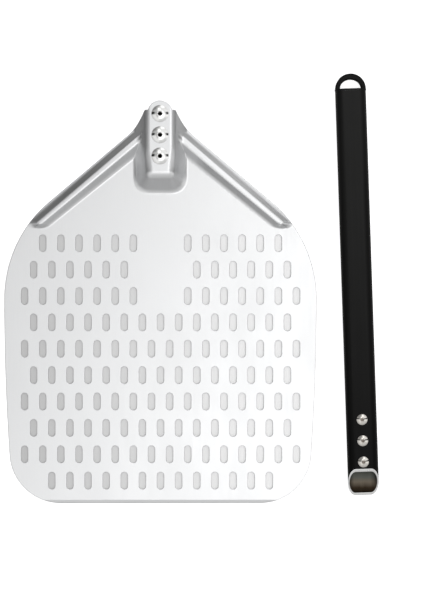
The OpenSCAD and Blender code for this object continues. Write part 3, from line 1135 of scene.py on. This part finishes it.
def make_camera():
    """Straight above, with +Y up in the picture."""
    lens = bpy.data.cameras.new("camera")
    lens.sensor_width = SENSOR
    lens.lens = SENSOR * VIEW_HEIGHT / VIEW_SPAN
    camera = placed("camera", lens)
    camera.location = (VIEW_X, VIEW_Y, VIEW_HEIGHT)
    bpy.context.scene.camera = camera


# Half the side of the floor, and the heights of the floor and the grey card of painted shade
FLOOR_HALF = 6000
FLOOR_Z, CARD_Z = -0.2, -0.1
# How far the card stays inside the head's outline, and the y where it ends
CARD_INSET, CARD_END = 3, 80
# Black discs just under the barrels: painted shade that keeps the bores dark
BORE_SHADE_R, BORE_SHADE_GAP, BORE_SHADE_SIDES = 3.3, 0.1, 24
# Brightness of the floor in reflections and tone of the card's painted shade, on the left and the
# right, and between which x, in metres, each one changes
DIM_FLOOR, DIM_X = (0.18, 0.75), (-0.1, 0.1)
CARD_SHADE_TONES, CARD_X = (0.42, 0.84), (-0.13, 0.08)
# Light from the paper and the card themselves
PAPER_GLOW, CARD_GLOW = 0.8, 0.18


def stage_piece(name, points, z, material):
    """A flat piece of the stage, from its outline in millimetres."""
    mesh = mesh_from(name, [(x, y, z) for x, y in points], [tuple(range(len(points)))])
    mesh.materials.append(material)
    placed(name, mesh)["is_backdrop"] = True


def white_paper():
    """Paper that is lit from below to a clean white, and dim where it is mirrored in metal."""
    s = Surface("white_paper", Roughness=0.9, Specular_IOR_Level=0.1)
    s.colour(s.noise((30, 30, 30)), (0.88, 0.88, 0.88), (0.9, 0.9, 0.9))
    s.glow(PAPER_GLOW)
    dim = s.new("ShaderNodeBsdfDiffuse")
    s.feed(dim.inputs["Color"], s.span(s.axis("X"), *DIM_FLOOR, *DIM_X))
    pick = s.new("ShaderNodeMixShader")
    s.feed(pick.inputs["Fac"], s.new("ShaderNodeLightPath").outputs["Is Camera Ray"])
    s.feed(pick.inputs[1], dim.outputs["BSDF"])
    s.feed(pick.inputs[2], s.shader.outputs["BSDF"])
    s.feed(s.tree.nodes["Material Output"].inputs["Surface"], pick.outputs["Shader"])
    return s.material


def painted_shade_card():
    """Matt grey card: painted shade under the head, seen through its slots, with a little glow and
    painted light that makes it paler to the right.
    """
    s = Surface("painted_shade_card", Roughness=0.95, Specular_IOR_Level=0)
    left, right = CARD_SHADE_TONES
    # Painted light: the card's painted shade is paler to the right
    s.colour(s.span(s.axis("X"), 0, 1, *CARD_X), [left] * 3, [right] * 3)
    s.glow(CARD_GLOW)
    return s.material


def black_felt():
    """Black discs of painted shade that keep the bores dark."""
    s = Surface("black_felt", Roughness=1, Specular_IOR_Level=0)
    s.colour(s.noise((1, 1, 1)), (0.012, 0.012, 0.012), (0.02, 0.02, 0.02))
    return s.material


def make_floor():
    """White paper floor, with a grey card and black discs of painted shade out of sight under the
    head.
    """
    corners = [(-1, -1), (1, -1), (1, 1), (-1, 1)]
    stage_piece("floor", [(x * FLOOR_HALF, y * FLOOR_HALF) for x, y in corners], FLOOR_Z,
                white_paper())
    outline = head_outline()
    card = outline - outward(outline) * CARD_INSET
    # The card is painted shade under the head, seen through the slots
    stage_piece("card", card[card[:, 1] < CARD_END][::2], CARD_Z, painted_shade_card())
    # Painted shade: black discs under the barrels keep the bores dark
    felt = black_felt()
    for node in NUT_NODES:
        x, y, z = node_centre(node)
        stage_piece(node.replace("barrel_nut", "felt"), hole_loop(x, y, BORE_SHADE_R, BORE_SHADE_SIDES)[::-1],
                    z - BORE_SHADE_GAP, felt)


# Brightness of the surroundings on the left and the right: overhead, halfway down, level
OVERHEAD, HALFWAY, LEVEL = (0.22, 2.15), (0.66, 0.92), (0.18, 0.58)
# The parts of a direction's X between which each of them changes; overhead it leans with Y
OVERHEAD_X, HALFWAY_X, LEVEL_X = (-0.19, 0.08), (-0.7, 0.7), (-0.9, 0.9)
OVERHEAD_LEAN = -0.4
# Brightness all round at the foot of the overhead brightness
SHOULDER = 0.95
# The parts of Z over which level turns to halfway, halfway to the shoulder, and that to overhead
LOW_Z, MIDDLE_Z, HIGH_Z = (-0.05, 0.45), (0.45, 0.88), (0.88, 1)
# Soft patches of the surroundings: azimuth and height angle of the middle, half angle, gain
PATCHES = [(125, 18, 32, 0.47), (300, 32, 36, 0.75), (145, 52, 20, 0.6), (105, 62, 10, 1.7),
           (74, 34, 13, 1.8), (95, 5, 15, 0.4), (0, 35, 28, 1.15)]
# Where a patch starts and is full, as parts of its half angle
PATCH_OUT, PATCH_IN = 1.2, 0.7
# Dark gap across the surroundings: its middle along Y, how far it is dark and seen to each side,
# its brightness, and the parts of Z where it fades
GAP_Y, GAP_HALF, GAP_REACH, GAP_LEFT = 0.15, 0.1, 0.15, 0.03
GAP_FADE = (0.75, 0.9)
# Soft lamp: place and target, width in metres, power in watts
LAMP_PLACE, LAMP_TARGET = (0.5, -0.4, 2.2), (0.05, 0, 0)
LAMP_SIZE, LAMP_POWER = 1.0, 0.6


class World(Nodes):
    """The world's node tree, with the direction of the light that comes in."""

    def __init__(self):
        world = bpy.data.worlds.new("studio")
        bpy.context.scene.world = world
        world.use_nodes = True
        self.tree = world.node_tree
        self.light = self.tree.nodes["Background"]
        self.light.inputs["Color"].default_value = (1, 1, 1, 1)
        self.way = self.new("ShaderNodeTexCoord").outputs["Generated"]
        split = self.new("ShaderNodeSeparateXYZ")
        self.feed(split.inputs["Vector"], self.way)
        self.x, self.y, self.z = (split.outputs[axis] for axis in "XYZ")

    def near(self, azimuth, height, half, gain):
        """The gain inside a soft round patch, and 1 outside it."""
        turn, rise = math.radians(azimuth), math.radians(height)
        dot = self.new("ShaderNodeVectorMath")
        dot.operation = "DOT_PRODUCT"
        dot.inputs[1].default_value = (math.cos(turn) * math.cos(rise),
                                       math.sin(turn) * math.cos(rise), math.sin(rise))
        self.feed(dot.inputs[0], self.way)
        return self.ranged(dot.outputs["Value"], math.cos(math.radians(half * PATCH_OUT)),
                           math.cos(math.radians(half * PATCH_IN)), 1, gain)


def make_world():
    """Studio surroundings: bright overhead, dimmer toward the horizon and to the left."""
    world = World()
    lean = world.combine("MULTIPLY_ADD", world.y, OVERHEAD_LEAN, world.x)
    overhead = world.ranged(lean, *OVERHEAD_X, *OVERHEAD, "LINEAR")
    halfway = world.ranged(world.x, *HALFWAY_X, *HALFWAY)
    level = world.ranged(world.x, *LEVEL_X, *LEVEL)
    below = world.ranged(world.z, *LOW_Z, level, halfway)
    shoulder = world.ranged(world.z, *MIDDLE_Z, below, SHOULDER, "LINEAR")
    bright = world.ranged(world.z, *HIGH_Z, shoulder, overhead, "LINEAR")
    for patch in PATCHES:
        bright = world.combine("MULTIPLY", bright, world.near(*patch))
    off = world.combine("ABSOLUTE", world.combine("SUBTRACT", world.y, GAP_Y))
    gap = world.ranged(off, GAP_HALF, GAP_REACH, GAP_LEFT, 1)
    bright = world.combine("MULTIPLY", bright, world.ranged(world.z, *GAP_FADE, gap, 1))
    world.feed(world.light.inputs["Strength"], bright)


def make_lamp():
    """A soft square lamp that points at its target."""
    lamp = bpy.data.lights.new("soft_light", "AREA")
    lamp.size = LAMP_SIZE
    lamp.energy = LAMP_POWER
    light = placed("soft_light", lamp)
    light.location = LAMP_PLACE
    way = Vector(LAMP_TARGET) - Vector(LAMP_PLACE)
    light.rotation_euler = way.to_track_quat("-Z", "Y").to_euler()


def build():
    """The stage, then the head, the nuts, the screws and the handle."""
    make_camera()
    make_floor()
    make_world()
    make_lamp()
    bpy.context.scene.view_settings.view_transform = "Standard"
    chrome = polished_metal("nut_chrome", tone=(0.86, 0.86, 0.85), rough=0.08)
    steel = polished_metal("screw_chrome", tone=(0.78, 0.75, 0.7), rough=0.05)
    # Dark brown for the socket: grime and painted shade in the recess
    grime_and_shade = polished_metal("socket_grime_and_shade", tone=(0.2, 0.175, 0.15), rough=0.3)
    make_head(satin_aluminium())
    for node in NUT_NODES:
        make_nut(node, node.replace("barrel_", ""), chrome)
    for node in SCREW_NODES:
        make_screw(node, node + "_body", steel, grime_and_shade)
    make_tube(black_anodised(), sawn_aluminium(), stained_and_shaded_inside())
    make_cap(black_plastic())


build()
low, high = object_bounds()
{"cad": [list(cad_low), list(cad_high)], "visual": [list(low), list(high)]}
